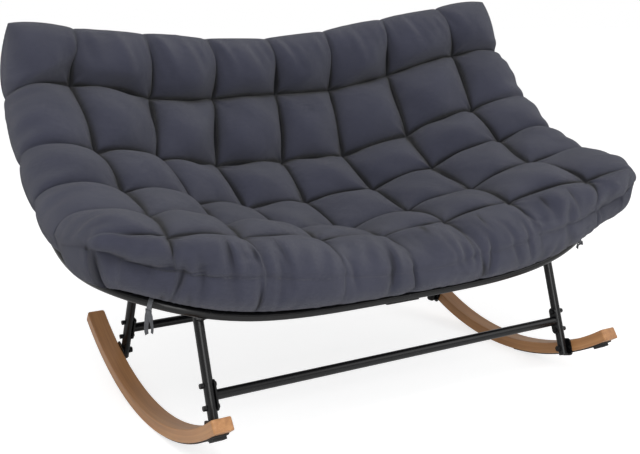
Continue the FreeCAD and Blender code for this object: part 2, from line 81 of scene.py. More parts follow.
# %% [markdown]
# ## Shader maths
# A finish is a small calculation: a grain that runs along the wood, a weave that follows the cloth.
# Wiring such sums node by node is slow to read, so one class wraps a node's output and lets Python's own
# operators add the Math nodes.

# %% Shader maths
class Value:
    """A socket in a material's node tree; operators on it add Math nodes."""

    def __init__(self, finish, socket):
        self.finish = finish
        self.socket = socket

    def _math(self, operation, first, second=None):
        values = {0: first} if second is None else {0: first, 1: second}
        return self.finish.node("ShaderNodeMath", {"operation": operation}, values)

    def __add__(self, other):
        return self._math("ADD", self, other)

    def __radd__(self, other):
        return self._math("ADD", other, self)

    def __sub__(self, other):
        return self._math("SUBTRACT", self, other)

    def __rsub__(self, other):
        return self._math("SUBTRACT", other, self)

    def __mul__(self, other):
        return self._math("MULTIPLY", self, other)

    def __rmul__(self, other):
        return self._math("MULTIPLY", other, self)

    def sine(self):
        return self._math("SINE", self)

    def arctan2(self, other):
        return self._math("ARCTAN2", self, other)

    def hypot(self, other):
        return self._math("SQRT", self * self + other * other)

    def between(self, low, high):
        """0 below low, 1 above high and a straight rise between them."""
        limits = {"Value": self, "From Min": low, "From Max": high}
        return self.finish.node("ShaderNodeMapRange", {"clamp": True}, limits)


class Finish:
    """A material that is built from expressions; every node comes from its one method."""

    def __init__(self, name):
        self.material = bpy.data.materials.new(name)
        self.material.use_nodes = True
        self.tree = self.material.node_tree
        self.shader = self.tree.nodes["Principled BSDF"]

    def node(self, kind, settings=None, inputs=None, output=0):
        """Adds a node, sets it, fills or links its sockets, and returns one of its outputs."""
        node = self.tree.nodes.new(kind)
        for name, value in (settings or {}).items():
            if name == "stops":
                ramp = node.color_ramp.elements
                while len(ramp) < len(value):
                    ramp.new(0.5)
                for stop, (place, colour) in zip(ramp, value):
                    stop.position = place
                    stop.color = (*colour, 1.0)
            else:
                setattr(node, name, value)
        for name, value in (inputs or {}).items():
            socket = node.inputs[name]
            if isinstance(value, Value):
                self.tree.links.new(value.socket, socket)
            elif value is not None:
                socket.default_value = value
        return Value(self, node.outputs[output])

    def set(self, **sockets):
        """Fills or links the shader's own sockets; an underscore in a name stands for a space."""
        for name, value in sockets.items():
            socket = self.shader.inputs[name.replace("_", " ")]
            if isinstance(value, Value):
                self.tree.links.new(value.socket, socket)
            else:
                socket.default_value = (*value, 1.0) if isinstance(value, tuple) else value

    def place(self):
        """Object coordinates, in metres."""
        return self.node("ShaderNodeTexCoord", output="Object")

    def axes(self, vector):
        """The three numbers of a vector."""
        split = self.node("ShaderNodeSeparateXYZ", {}, {0: vector})
        return [Value(self, socket) for socket in split.socket.node.outputs]

    def vector(self, x, y, z):
        return self.node("ShaderNodeCombineXYZ", {}, {0: x, 1: y, 2: z})

    def noise(self, vector, scale, detail=3.0, roughness=0.55):
        return self.node("ShaderNodeTexNoise", {}, {"Vector": vector, "Scale": scale, "Detail": detail,
                                                    "Roughness": roughness})

    def mix(self, share, first, second):
        """A colour between two colours."""
        colours = {6: (*first, 1.0) if isinstance(first, tuple) else first,
                   7: (*second, 1.0) if isinstance(second, tuple) else second}
        return self.node("ShaderNodeMix", {"data_type": "RGBA"}, {0: share, **colours}, output=2)

    def bump(self, height, distance):
        """A Bump node on the shader's Normal; distance is the real height of the relief in metres."""
        relief = {"Height": height, "Distance": distance, "Strength": 1.0}
        self.set(Normal=self.node("ShaderNodeBump", {}, relief))


print("shader maths ready")

# %% [markdown]
# ## The stage
# The chair stands on a plain white floor under soft light. A wide lamp above and to the left draws the
# shadow under the seat, and a pale world fills the rest, so that a colour renders about as it is written.
# The floor glows a little towards the camera, as brightly lit paper does.

# %% Stage
floor_half = 30.0
floor_share = 0.4
floor_glow = 1.78
sky_strength = 0.55
floor_finish = Finish("stage_floor")
floor_finish.set(Base_Color=(0.93, 0.93, 0.93), Roughness=0.9, Specular_IOR_Level=0.1)
to_camera = floor_finish.node("ShaderNodeLightPath")
paper = floor_finish.node("ShaderNodeEmission", {}, {"Color": (1, 1, 1, 1), "Strength": floor_glow})
shaded = Value(floor_finish, floor_finish.shader.outputs[0])
seen_floor = floor_finish.node("ShaderNodeMixShader", {}, {0: to_camera * floor_share, 1: shaded, 2: paper})
floor_finish.tree.links.new(seen_floor.socket, floor_finish.tree.nodes["Material Output"].inputs[0])
corner = np.array([[-1, -1, 0], [1, -1, 0], [1, 1, 0], [-1, 1, 0]], float) * floor_half
floor_mesh = bpy.data.meshes.new("floor")
floor_mesh.from_pydata(corner.tolist(), [], [(0, 1, 2, 3)])
floor = bpy.data.objects.new("floor", floor_mesh)
floor.data.materials.append(floor_finish.material)
scene.collection.objects.link(floor)

world = bpy.data.worlds.new("studio")
world.use_nodes = True
scene.world = world
sky = world.node_tree.nodes["Background"]
rays = world.node_tree.nodes.new("ShaderNodeLightPath")
seen = world.node_tree.nodes.new("ShaderNodeBackground")
seen.inputs["Strength"].default_value = 1.0
seen.inputs["Color"].default_value = (1, 1, 1, 1)
sky.inputs["Color"].default_value = (1, 1, 1, 1)
sky.inputs["Strength"].default_value = sky_strength
choice = world.node_tree.nodes.new("ShaderNodeMixShader")
world.node_tree.links.new(rays.outputs["Is Camera Ray"], choice.inputs[0])
world.node_tree.links.new(sky.outputs[0], choice.inputs[1])
world.node_tree.links.new(seen.outputs[0], choice.inputs[2])
world.node_tree.links.new(choice.outputs[0], world.node_tree.nodes["World Output"].inputs[0])


def lamp(name, place, aim, size, power):
    """A square soft lamp that faces a point."""
    light = bpy.data.lights.new(name, "AREA")
    light.shape = "SQUARE"
    light.size = size
    light.energy = power
    holder = bpy.data.objects.new(name, light)
    ahead = np.array(aim, float) - np.array(place, float)
    ahead /= np.linalg.norm(ahead)
    side = np.cross(ahead, [0, 0, 1.0])
    side /= np.linalg.norm(side)
    turn = np.eye(4)
    turn[:3, :3] = np.stack([side, np.cross(side, ahead), -ahead], axis=1)
    turn[:3, 3] = place
    holder.matrix_world = Matrix(turn.tolist())
    scene.collection.objects.link(holder)


lamp("key", (-1.6, -1.8, 3.6), (0, 0, 0.4), 2.6, 68.0)
lamp("front", (-1.0, -3.6, 1.5), (0, 0.2, 0.6), 2.0, 44.0)
lamp("fill", (2.6, -2.4, 2.2), (0, 0, 0.5), 2.4, 22.0)
scene.view_settings.view_transform = "Standard"
print("stage: floor, world and three lamps")

# %% [markdown]
# ## Powder-coated steel
# The tubes are sprayed with black powder and baked. The coat has a fine orange-peel skin and a soft
# gloss, so a light along a tube draws one long pale line. A fine noise lifts the skin by a few hundredths
# of a millimetre and varies the gloss a little.

# %% Black steel, fastenings, plastic and rubber
cloud_scale = 9.0
dust_scale = 60.0
dust_share = 0.35
dust_pallor = 2.4
gloss_spread = 0.12
dust_dullness = 0.06


def black_coat(name, colour, gloss, peel, peel_size):
    """A black skin with a fine relief and a slightly uneven gloss."""
    finish = Finish(name)
    place = finish.place()
    skin = finish.noise(place, 1 / peel_size, 2.0)
    cloud = finish.noise(place, cloud_scale, 3.0)
    dust = finish.noise(place, dust_scale, 4.0).between(0.52, 0.78)
    dusty = tuple(dust_pallor * part for part in colour)
    finish.set(Base_Color=finish.mix(dust * dust_share, colour, dusty),
               Roughness=gloss + gloss_spread * (cloud - 0.5) + dust_dullness * dust)
    finish.bump(skin, peel)
    return finish


powder_coat = black_coat("black_powder_coat", (0.004, 0.004, 0.0045), 0.24, 0.00003, 0.0016)
powder_coat.set(Specular_IOR_Level=0.36)
black_zinc = black_coat("black_zinc_fastenings", (0.014, 0.014, 0.015), 0.38, 0.00002, 0.0008)
black_zinc.set(Metallic=0.6)
plug_plastic = black_coat("black_moulded_plastic", (0.013, 0.013, 0.013), 0.55, 0.00003, 0.0007)
strip_rubber = black_coat("black_rubber", (0.016, 0.016, 0.016), 0.8, 0.00006, 0.0012)
print("black finishes:", powder_coat.material.name, black_zinc.material.name)

# %% Hidden metals
drawn_long = 8.0
drawn_fine = 900.0
turned_fine = 700.0
sleeve_steel = Finish("sleeve_steel")
drawn_x, drawn_y, drawn_z = sleeve_steel.axes(sleeve_steel.place())
drawn_place = sleeve_steel.vector(drawn_x * drawn_long, drawn_y * drawn_fine, drawn_z * drawn_fine)
drawing = sleeve_steel.noise(drawn_place, 1.0, 2.0)
sleeve_steel.set(Base_Color=(0.46, 0.46, 0.47), Metallic=1.0, Roughness=0.28 + 0.2 * drawing)
insert_brass = Finish("insert_brass")
turning = insert_brass.noise(insert_brass.place(), turned_fine, 2.0)
insert_brass.set(Base_Color=(0.62, 0.43, 0.17), Metallic=1.0, Roughness=0.25 + 0.2 * turning)
print("hidden metals:", sleeve_steel.material.name, insert_brass.material.name)

# %% [markdown]
# ## Bent wood
# Each rocker is glued up from strips of wood that are bent round a former, so the grain follows the arc.
# The grain is worked out in the arc's own directions: how far along it, how far from its axis and how far
# across. Long streaks of noise along the arc make the grain, thin dark lines the pores, and a broad cloud
# the change of tone from end to end.

# %% Rocker wood
rocker_radius = 0.695
wood = Finish("rocker_wood")
wood_x, wood_y, wood_z = wood.axes(wood.place())
wood_depth = rocker_radius - wood_z
along = wood_y.arctan2(wood_depth) * rocker_radius
from_axis = wood_y.hypot(wood_depth)


def grain(lengthways, crossways, detail, roughness=0.55):
    """Noise drawn out along the arc, from its scale along the grain and across it."""
    stretched = wood.vector(along * lengthways, from_axis * crossways, wood_x * crossways)
    return wood.noise(stretched, 1.0, detail, roughness)


streak = grain(2.2, 95.0, 4.0, 0.6)
pore = grain(9.0, 520.0, 3.0, 0.5).between(0.58, 0.74)
cloud = grain(2.6, 9.0, 2.0)
tone = streak * 0.62 + cloud * 0.38
browns = [(0.30, (0.270, 0.118, 0.040)), (0.50, (0.400, 0.188, 0.070)), (0.70, (0.520, 0.270, 0.112))]
board = wood.node("ShaderNodeValToRGB", {"stops": browns}, {0: tone})
wood.set(Base_Color=wood.mix(pore * 0.45, board, (0.200, 0.090, 0.040)), Roughness=0.40 + 0.16 * streak,
         Coat_Weight=0.15, Coat_Roughness=0.3)
wood.bump(pore * -1.0 + streak * 0.4, 0.00012)
print("wood:", wood.material.name)

# %% Dress the CAD nodes
finish_by_slot = {"black_steel": powder_coat, "black_fasteners": black_zinc, "bare_steel": sleeve_steel,
                  "insert_brass": insert_brass, "black_plastic": plug_plastic, "rocker_wood": wood,
                  "black_rubber": strip_rubber}
for entry in frame["record"]["subparts"]:
    if entry["material_slot"] in finish_by_slot:
        node = frame["nodes"][entry["node"]]
        node.data.materials.clear()
        node.data.materials.append(finish_by_slot[entry["material_slot"]].material)

# %% [markdown]
# ## Where the tufts are
# The cushion is one big pad, sewn through at a grid of tufts. Its middle sheet hangs in the ring as a
# bowl: five rows of tufts go round an arc from the front to the back, and each column towards the sides
# is lifted out of the bowl. A soft pad is never regular, so the right side sits a little higher, and each
# tuft has strayed a centimetre or two in the plane that faces the camera. The strays are worked out from
# where the tufts show in the photograph, read off in pixels from its top left corner; the point
# straight ahead of the camera and its focal length are in pixels too. The border is drawn in or let out a
# little, point by point from the top to the front. The net of tufts and edges is joined by cubic splines
# both ways.

# %% The net of tufts
cells_over = 8
cells_down = 6
tuft_pitch = 184.0
half_width = cells_over / 2 * tuft_pitch
lean = np.radians(41.0)
out_of_ring = np.array([-np.sin(lean), np.cos(lean)])
bowl_middle = np.array([-20.0, 790.0])
bowl_radius = 430.0
row_angles = np.array([75.0, 46.5, 26.9, 3.7, -19.5])
dish_depth = 165.0
dish_reach = 700.0
dish_shares = np.array([0.5, 0.95, 1.0, 1.0, 0.9])
side_turn = 2.2
side_lift = 18.0
net_shift = -7.0
picture_middle = np.array([314.84, 214.70])
focal_pixels = 959.66
tuft_pixels = np.array([
    [(69, 88), (147, 100), (210, 100), (273, 95), (327, 91), (385, 77), (450, 58)],
    [(94, 157), (154, 164), (214, 169), (281, 164), (342, 158), (407, 137.5), (470.5, 113.5)],
    [(121, 197), (190, 209), (245, 214), (305, 206), (372, 193), (432, 171), (498, 145)],
    [(147, 221), (217, 232), (284, 236.5), (344, 238), (408, 215), (472, 194), (530, 167.5)],
    [(166, 241), (240, 243), (317, 245), (381, 242), (444, 226), (508, 206), (586, 183.5)]], float)
top_angle = 96.3
top_share = 0.5
front_y = -308.0
front_z = 350.0
front_corner_back = 84.0
front_corner_rise = 105.0
corner_back_power = 4
corner_rise_power = 1.6
top_narrowing = 22.0
shoulder_share = 0.6
ear_rise = np.array([50.0, 36.0])
corner_pull = np.array([0.13, 0.30])
left_swell = np.array([0.0, 0.0, 0.0, 4.0, 16.0, 10.0, -30.0])
left_ahead = np.array([0.0, 0.0, 0.0, 0.0, 25.0, 70.0, 80.0])
right_draw = np.array([0.0, 0.0, 0.0, 2.0, 8.0, 14.0, 18.0])
right_drop = np.array([0.0, 0.0, 0.0, 0.0, 4.0, 20.0, 20.0])


def dish(x):
    """How far a column is lifted out of the bowl: half a cosine wave from the middle to the sides."""
    return dish_depth * (1 - np.cos(np.pi * np.minimum(np.abs(x), dish_reach) / dish_reach)) / 2


def bowl(x, angle, share):
    """Points of the bowl: a circle in each column's plane, turned and lifted towards the right side."""
    turn = np.radians(angle + side_turn * x / dish_reach)
    rise = dish(x) * share + side_lift * x / dish_reach
    y = bowl_middle[0] + bowl_radius * np.sin(turn) + out_of_ring[0] * rise
    z = bowl_middle[1] - bowl_radius * np.cos(turn) + out_of_ring[1] * rise
    return np.stack([x + 0 * y, y, z], axis=-1)


def strayed(tufts, pixels):
    """Tufts moved in the plane that faces the camera, by whole mm, to where they show in the photograph."""
    sight = tufts - camera_place / MM
    depth = sight @ view_ahead
    right = np.round((pixels[:, 0] - picture_middle[0]) / focal_pixels * depth - sight @ view_right)
    up = np.round((picture_middle[1] - pixels[:, 1]) / focal_pixels * depth - sight @ view_up)
    return tufts + (right[:, None] * view_right + up[:, None] * view_up)


column_x = (np.arange(cells_over + 1) - cells_over / 2) * tuft_pitch
column_x = column_x + net_shift * (np.abs(column_x) < half_width)
rows = [bowl(column_x, angle, share) for angle, share in zip(row_angles, dish_shares)]
for tufts, pixels in zip(rows, tuft_pixels):
    tufts[1:-1] = strayed(tufts[1:-1], pixels)
top_edge = bowl(column_x, top_angle, top_share)
across = np.abs(column_x) / half_width
front_edge = np.stack([column_x, front_y + front_corner_back * across**corner_back_power,
                       front_z + front_corner_rise * across**corner_rise_power], axis=-1)
top_edge[[0, -1], 2] += ear_rise
net = np.stack([top_edge, *rows, front_edge])
net[0, :, 0] *= 1 - top_narrowing / half_width
net[1, [0, -1], 0] *= 1 - shoulder_share * top_narrowing / half_width
net[:, 0, 0] -= left_swell
net[:, 0] += left_ahead[:, None] * view_ahead
net[:, -1, 0] -= right_draw
net[:, -1, 2] -= right_drop
print("net:", net.shape, "lowest tuft", net[1:-1, :, 2].min().round(), "mm")

# %% Splines through the net
def spline_matrix(knots, places):
    """The matrix that turns values at even knots 0, 1, 2 ... into a natural cubic spline at places.

    The spline's second derivatives m solve m[k-1] + 4 m[k] + m[k+1] = 6 (p[k-1] - 2 p[k] + p[k+1])."""
    system = np.eye(knots)
    second = np.zeros((knots, knots))
    for k in range(1, knots - 1):
        system[k, k - 1:k + 2] = [1, 4, 1]
        second[k, k - 1:k + 2] = [6, -12, 6]
    curvature = np.linalg.solve(system, second)
    run = np.clip(np.floor(places).astype(int), 0, knots - 2)
    share = (places - run)[:, None]
    rest = 1 - share
    value = np.eye(knots)
    return (rest * value[run] + share * value[run + 1]
            + (rest**3 - rest) / 6 * curvature[run] + (share**3 - share) / 6 * curvature[run + 1])


cell_steps = 32
crowding = 0.6
corner_power = 1.6


def eased(cells):
    """Places along a row of cells, with the steps drawn closer together at the creases."""
    places = np.linspace(0, cells, cells * cell_steps + 1)
    cell = np.minimum(np.floor(places), cells - 1)
    close = cell + (1 - np.cos(np.pi * (places - cell))) / 2
    return places + crowding * (close - places)


column = eased(cells_over)
row = eased(cells_down)
to_columns = spline_matrix(cells_over + 1, column)
to_rows = spline_matrix(cells_down + 1, row)
middle_column = cells_over / 2
middle_row = cells_down / 2
in_left = np.clip(1 - column, 0, 1)[None, :]
in_right = np.clip(column - (cells_over - 1), 0, 1)[None, :]
in_top = np.clip(1 - row, 0, 1)[:, None]
in_front = np.clip(row - (cells_down - 1), 0, 1)[:, None]
corner_share = ((in_left + in_right) * (in_top + in_front))**corner_power
middle_sheet = np.einsum("rk,kcx,sc->rsx", to_rows, net, to_columns)
pull_down = np.gradient(middle_sheet, row, axis=0) * np.sign(middle_row - row)[:, None, None]
pull_over = np.gradient(middle_sheet, column, axis=1) * np.sign(middle_column - column)[None, :, None]
pull = np.where(row < middle_row, *corner_pull)[:, None] * corner_share
middle_sheet = middle_sheet + pull[..., None] * (pull_down + pull_over)
print("middle sheet:", middle_sheet.shape)

# %% [markdown]
# ## The puffs
# Between the tufts the filling swells the cover into puffs. In each cell the height is that of a pillow:
# a product of two half rounds, plus a lower ridge that carries the height on along the creases between
# two tufts. Towards the front, the top and the sides the creases grow shallow, so the edge is one long
# roll. At the seam both sheets meet in a groove. Each puff has its own fullness, and hangs a little
# towards the front. The back is filled more than the seat, which is sat flat, so each row of puffs has
# its own height.

# %% Heights of the puffs
puff_heights = np.array([80.0, 82.0, 68.0, 50.0, 42.0, 37.0])
fullness_spread = 0.10
ridge_share = 0.34
ridge_dip = 0.12
front_round = 0.4
under_front_round = 0.22
crease_power = 2.0
side_fullness = 0.5
crease_at_top = 0.55
crease_at_front = 0.34
crease_at_sides = 0.34
dice = np.random.default_rng(7)
fullness = 1 + fullness_spread * (dice.random((cells_down, cells_over)) - 0.5)


def smooth(share):
    """A share clipped to 0 and 1, with soft ends."""
    share = np.clip(share, 0, 1)
    return share * share * (3 - 2 * share)


def past_row(start, length):
    """0 down to a place along the rows, 1 from a length beyond it, and a smooth rise between them."""
    return smooth((row - start) / length)[:, None]


def puff(places):
    """The height between creases: (1 - |s|^p)^(1/p) across a cell, and 1 in an end cell's outer half."""
    end = places.max()
    cell = np.minimum(np.floor(places), end - 1)
    side = 2 * (places - cell) - 1
    side = np.where((places < 0.5) | (places > end - 0.5), 0.0, side)
    return np.clip(1 - np.abs(side)**crease_power, 0, 1)**(1 / crease_power)


def fading(places, first, last):
    """1 inside, and towards the two ends a smooth change to the given shares."""
    end = places.max()
    return 1 - (1 - first) * smooth(1 - places) - (1 - last) * smooth(places - (end - 1))


def edge_round(places, first=0.5, last=0.5):
    """1 inside, coming down as a quarter round over the given shares of the first and the last cell."""
    beyond = np.maximum(np.maximum((first - places) / first, (places - places.max() + last) / last), 0)
    return np.sqrt(np.clip(1 - beyond**2, 0, 1))


over_columns = 1 - (1 - puff(column))[None, :] * fading(row, crease_at_top, crease_at_front)[:, None]
over_rows = 1 - (1 - puff(row))[:, None] * fading(column, crease_at_sides, crease_at_sides)[None, :]
ends = edge_round(column)[None, :] * edge_round(row, last=front_round)[:, None]
under_ends = edge_round(column)[None, :] * edge_round(row, last=under_front_round)[:, None]
pillow = over_columns * over_rows
ridge = np.sqrt((over_columns**2 + over_rows**2) / 2)
shape = ends * ((1 - ridge_share) * pillow + ridge_share * ridge)
shape *= 1 - ridge_share * ridge_dip * (1 - pillow)
cell_row = np.minimum(row.astype(int), cells_down - 1)
cell_column = np.minimum(column.astype(int), cells_over - 1)
cell_fullness = fullness[cell_row][:, cell_column]
from_middle = np.abs(column - middle_column)
end_column = middle_column - 1
at_sides = smooth(from_middle - end_column)[None, :] * past_row(2.6, 0.8)
row_heights = np.interp(row, np.arange(cells_down) + 0.5, puff_heights)[:, None]
cell_heights = row_heights * (1 + side_fullness * at_sides)
upper_height = cell_heights * shape * (1 + (cell_fullness - 1) * pillow)
print("puffs up to", upper_height.max().round(1), "mm")

# %% Upper and lower sheets
def sheet_normals(points):
    """Unit normals of a grid of points, from its differences both ways."""
    down = np.gradient(points, axis=0)
    over = np.gradient(points, axis=1)
    normal = np.cross(down, over)
    return normal / np.linalg.norm(normal, axis=-1, keepdims=True)


rim_radius = 11.0
cloth_gap = 1.5
scallop_top = 6.0
scallop_front = 6.0
scallop_side = 10.0
scallop_middle_top = 0.4
scallop_middle_front = 0.5
scallop_middle_side = 0.3
seam_groove = 2.5
down_step = np.gradient(middle_sheet, axis=0)
down_step /= np.linalg.norm(down_step, axis=-1, keepdims=True)
column_puff = puff(column)[None, :]
row_puff = puff(row)[:, None]
along_edge = (scallop_front * in_front**2 * (column_puff - scallop_middle_front)
              - scallop_top * in_top**2 * (column_puff - scallop_middle_top))
middle_sheet = middle_sheet + down_step * along_edge[..., None]
off_corner = 1 - past_row(4.3, 0.5)
to_the_right = in_right**2 - in_left**2
middle_sheet[..., 0] += scallop_side * (row_puff - scallop_middle_side) * to_the_right * off_corner
middle_sheet[0] += down_step[0] * seam_groove
middle_sheet[-1] -= down_step[-1] * seam_groove
middle_sheet[:, 0, 0] += seam_groove
middle_sheet[:, -1, 0] -= seam_groove

corner_from = 430.0
corner_width = 150.0
corner_fullness = 0.8
corner_rounding = 0.9
normals = sheet_normals(middle_sheet)
normals[[0, -1]] = normals[[2, -3]]
normals[:, [0, -1]] = normals[:, [2, -3]]
near_corner = smooth((np.abs(middle_sheet[..., 0]) - corner_from) / corner_width) * past_row(4.9, 0.4)
to_front_edge = in_front + 0 * column
to_side_edge = np.clip(from_middle - end_column, 0, 1)[None, :] + 0 * row[:, None]
nearness = np.maximum(to_front_edge, to_side_edge)
upper_height *= 1 - near_corner * (1 - corner_fullness * smooth((1 - nearness) / corner_rounding))

sag = 14.0
front_upright = 0.6
front_up = np.array([0, 0.1, 1.0])
hang = np.clip(-down_step[..., 2:], 0, 1)
sagging = sag * shape**2 * (1 - past_row(4.8, 0.5))
upright = (front_upright * past_row(5.2, 0.7) * (1 - near_corner))[..., None]
risers = normals * (1 - upright) + front_up * upright
upper_sheet = middle_sheet + risers * upper_height[..., None] + down_step * hang * sagging[..., None]

under_middle = np.array([40.0, 48.0, 62.0, 82.0, 86.0, 84.0, 56.0])
under_side = np.array([36.0, 44.0, 56.0, 74.0, 76.0, 66.0, 62.0])
under_side_from = 420.0
under_flat = 0.62
under_puffed = 0.38
under_front_fill = 0.2
inwards_from = 4.6
to_side = smooth((np.abs(middle_sheet[..., 0]) - under_side_from) / (half_width - under_side_from))
under = (to_rows @ under_middle)[:, None] * (1 - to_side) + (to_rows @ under_side)[:, None] * to_side
under_shape = under_flat + under_puffed * pillow + under_front_fill * past_row(5.3, 0.5) * (1 - pillow)
lower_height = under * under_ends * under_shape
to_front = np.clip(row - inwards_from, 0, 1)[:, None, None]
inwards = normals * (1 - to_front) + np.array([0, 0, 1.0]) * to_front
inwards /= np.linalg.norm(inwards, axis=-1, keepdims=True)
lower_sheet = middle_sheet - inwards * lower_height[..., None]
print("normals point", normals[:, :, 2].mean().round(2), "upwards on average")

# %% [markdown]
# ## Resting on the frame
# Along the front and the front half of the sides the edge of the pad is one roll. Below the seam it comes
# down in a quarter round with turn t, seam + level (1 - cos t) + drop sin t, and ends on top of the ring.
# Further in, the pad lies on the ribs, and its underside is pressed in where they pass: every point of
# the lower sheet that is nearer to a tube's axis than the tube's radius and the thickness of the cloth is
# moved out to that distance.

# %% Roll the edge down to the ring
def tube_tree(*nodes):
    """A tree that finds the nearest face of some of the frame's tubes, in mm."""
    points, faces = [], []
    for node in nodes:
        mesh = frame["nodes"][node].data
        faces += [[corner + len(points) for corner in face.vertices] for face in mesh.polygons]
        points += [point.co / MM for point in mesh.vertices]
    return BVHTree.FromPolygons(points, faces)


def between_points(values, knots, places):
    """The values along a line of points, at places between them."""
    return np.stack([np.interp(places, knots, axis) for axis in np.array(values).T], axis=-1)


def outside(points):
    """The level direction out of the seat at points of its edge, which lies on a wide oval."""
    way = (points - roll_middle) * roll_shape
    return way / np.linalg.norm(way, axis=-1, keepdims=True)


roll_reach = 0.5
roll_bulge = 14.0
roll_middle = np.array([0.0, 130.0, 0.0])
roll_shape = np.array([1 / 700.0, 1 / 400.0, 0.0])
least_share = 1e-6
rim_tree = tube_tree("left_rim_tube", "right_rim_tube")
scale = np.maximum(nearness, least_share)
foot_row = np.where(to_front_edge > 0, cells_down - 1 + to_front_edge / scale, row[:, None])
foot_aside = np.where(to_side_edge > 0, end_column + to_side_edge / scale, from_middle)
foot_column = middle_column + np.sign(column - middle_column) * foot_aside
rolled = middle_sheet.copy()
on_front = to_front_edge >= to_side_edge
for line, knots, places, region in ((np.s_[-1, :], column, foot_column, on_front),
                                    (np.s_[:, 0], row, foot_row, ~on_front & (column < middle_column)),
                                    (np.s_[:, -1], row, foot_row, ~on_front & (column > middle_column))):
    base = []
    for point, inward in zip(middle_sheet[line], inwards[line]):
        place, outward, _, _ = rim_tree.find_nearest(Vector(point))
        base.append(np.array(place - outward * rim_radius) + inward * (rim_radius + cloth_gap))
    seam, base, inward = (between_points(values, knots, places[region])
                          for values in (middle_sheet[line], base, inwards[line]))
    drop = inward * ((base - seam) * inward).sum(axis=-1, keepdims=True)
    level = base - seam - drop
    turn = np.pi / 2 * np.clip((1 - nearness[region]) / roll_reach, 0, 1)[:, None]
    bulge = outside(seam) * roll_bulge * np.sin(2 * turn)
    rolled[region] = seam + level * (1 - np.cos(turn)) + drop * np.sin(turn) + bulge
share = (smooth(nearness / (1 - roll_reach)) * past_row(3.6, 0.8))[..., None]
lower_sheet = lower_sheet * (1 - share) + rolled * share
print("edge rolled down to the ring")

# %% Rest on the frame
rib_radius = 8.0
search_radii = 3
tubes = {"left_rim_tube": rim_radius, "right_rim_tube": rim_radius, "centre_rib": rib_radius,
         "left_rib": rib_radius, "right_rib": rib_radius}


def pressed_in(points, directions, node, radius):
    """The points, moved inwards to clear a tube of the frame."""
    tree = tube_tree(node)
    search = search_radii * radius
    reach = radius + cloth_gap
    clear = points.copy()
    for index, (point, inward) in enumerate(zip(points, directions)):
        place, normal, _, _ = tree.find_nearest(Vector(point), search)
        if place is None:
            continue
        axis = np.array(place - normal * radius)
        aside = point - axis
        if aside @ aside < reach**2 or aside @ inward < 0 and aside @ aside < search**2:
            across = aside - inward * (aside @ inward)
            width = np.linalg.norm(across)
            if width < reach:
                clear[index] = axis + across + inward * np.sqrt(reach**2 - width**2)
    return clear


for node, radius in tubes.items():
    flat = lower_sheet.reshape(-1, 3)
    moved = pressed_in(flat, inwards.reshape(-1, 3), node, radius)
    print(node, "presses in", int((np.abs(moved - flat).max(axis=1) > 0.01).sum()), "points")
    lower_sheet = moved.reshape(lower_sheet.shape)

# %% Closed meshes from two grids
def grid_quads(index):
    """The corners of every cell in a grid of point numbers."""
    corners = [index[:-1, :-1], index[1:, :-1], index[1:, 1:], index[:-1, 1:]]
    return np.stack(corners, axis=-1).reshape(-1, 4)


def mesh_piece(name, points, quads):
    """A smooth mesh of points in mm, as an object in the scene."""
    mesh = bpy.data.meshes.new(name)
    mesh.from_pydata((points * MM).tolist(), [], quads.tolist())
    mesh.shade_smooth()
    piece = bpy.data.objects.new(name, mesh)
    scene.collection.objects.link(piece)
    return piece


def inner_points(grid):
    """Marks the points of a grid that aren't on its border."""
    inside = np.zeros(grid.shape[:2], bool)
    inside[1:-1, 1:-1] = True
    return inside


def closed_pad(name, upper, lower):
    """Two grids of points with a common border, as one closed mesh; the border is the seam."""
    top = np.arange(upper[..., 0].size).reshape(upper.shape[:2])
    inside = inner_points(upper)
    bottom = top.copy()
    bottom[inside] = top.size + np.arange(inside.sum())
    points = np.concatenate([upper.reshape(-1, 3), lower[inside]])
    return mesh_piece(name, points, np.concatenate([grid_quads(top), grid_quads(bottom)[:, ::-1]]))


print("ready to close the pad")

# %% [markdown]
# ## The cover as cloth
# A cover is cut flat and larger than the pad it is sewn down to, and its spare cloth gathers at the tufts
# and along the creases. The flat cut is measured from the puffs: each row and column of steps gets the
# mean length that it has over the crowns. The tufts, the seam and the underside are held, the creases are
# held loosely, and a light pressure fills the cover while the cloth settles. Every second step is enough
# for this; the moves are then spread to all.

# %% Flat cut of the cover
def flat_lengths(points, axis, weight):
    """Running length along an axis of a grid, averaged over the lines where the weight is high."""
    steps = np.linalg.norm(np.diff(points, axis=axis), axis=-1)
    lines = np.average(steps, axis=1 - axis, weights=np.broadcast_to(weight, steps.shape))
    return np.concatenate([[0.0], np.cumsum(lines)])


crown_share = 0.9
crowns_down = (puff(row) > crown_share).astype(float)[:, None]
crowns_over = (puff(column) > crown_share).astype(float)[None, :]
cut_over = flat_lengths(upper_sheet, 1, crowns_down)
cut_down = flat_lengths(upper_sheet, 0, crowns_over)
flat_cut = np.stack([*np.meshgrid(cut_over, -cut_down), np.zeros(upper_sheet.shape[:2])], axis=-1)
print("cover cut to", cut_over[-1].round(), "by", cut_down[-1].round(), "mm")

# %% Let the cover settle
crease = 1 - np.minimum(over_columns, over_rows)
settle_frames = 18
farthest = 24.0
crease_hold = 0.3
hold_from = 0.6
layer_gap = 2.0
coarse = 2


